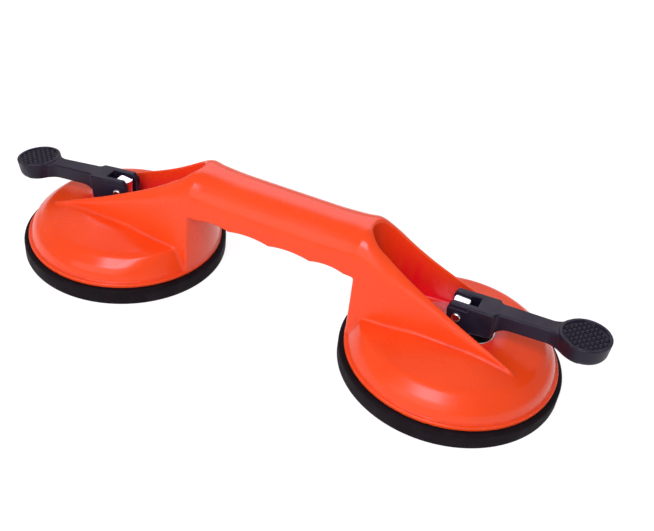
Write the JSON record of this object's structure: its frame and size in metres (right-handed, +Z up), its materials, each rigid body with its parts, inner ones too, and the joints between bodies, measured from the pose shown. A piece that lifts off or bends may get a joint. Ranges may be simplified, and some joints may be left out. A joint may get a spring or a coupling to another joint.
{
  "type": "double suction cup lifter",
  "caption": "Hand lifter for floor tiles and raised-floor panels: a moulded shell with a finger grip joins round rubber suction cups, each drawn by a forked cam lever.",
  "frame": {"origin": "on the standing surface, midway between the two cup axes", "axes": "+X along the handle towards the raised lever, +Y across the handle, +Z up from the surface"},
  "size_m": [0.3495, 0.117, 0.0705],
  "materials": {
    "shell_abs": "glossy orange moulded ABS",
    "pad_rubber": "matt black rubber",
    "insert_steel": "zinc-plated steel plate",
    "stud_chrome": "bright nickel-chrome plate",
    "spring_steel": "drawn spring wire",
    "wear_steel": "bright plated steel plate",
    "lever_plastic": "satin black glass-filled nylon",
    "pin_steel": "bright plated steel"
  },
  "bodies": {
    "shell": {"body_shell": "shell_abs", "rubber_rim_right": "pad_rubber", "rubber_web_right": "pad_rubber", "return_spring_right": "spring_steel", "wear_plate_right": "wear_steel", "rubber_rim_left": "pad_rubber", "rubber_web_left": "pad_rubber", "return_spring_left": "spring_steel", "wear_plate_left": "wear_steel"},
    "stud_right": {"draw_stud_right": "stud_chrome", "anchor_plate_right": "insert_steel"},
    "lever_right": {"lever_right": "lever_plastic", "lever_pin_right": "pin_steel"},
    "stud_left": {"draw_stud_left": "stud_chrome", "anchor_plate_left": "insert_steel"},
    "lever_left": {"lever_left": "lever_plastic", "lever_pin_left": "pin_steel"}
  },
  "joints": [
    {"name": "stud_right_draw", "type": "slide", "parent": "shell", "child": "stud_right", "axis": [0, 0, -1], "range_m": [-0.00043, 0.00357], "deforming": ["return_spring_right", "rubber_web_right"]},
    {"name": "lever_right_swing", "type": "hinge", "parent": "stud_right", "child": "lever_right", "pos_m": [0.101, 0, 0.03812], "axis": [0, -1, 0], "range_deg": [-9.6, 80.4]},
    {"name": "stud_left_draw", "type": "slide", "parent": "shell", "child": "stud_left", "axis": [0, 0, -1], "range_m": [0, 0.004], "deforming": ["return_spring_left", "rubber_web_left"]},
    {"name": "lever_left_swing", "type": "hinge", "parent": "stud_left", "child": "lever_left", "pos_m": [-0.101, 0, 0.03855], "axis": [0, 1, 0], "range_deg": [0, 90]}
  ],
  "couplings": [
    {"joint": "stud_right_draw", "follows": "lever_right_swing", "m_per_rad": 0.0025465},
    {"joint": "stud_left_draw", "follows": "lever_left_swing", "m_per_rad": 0.0025465}
  ]
}
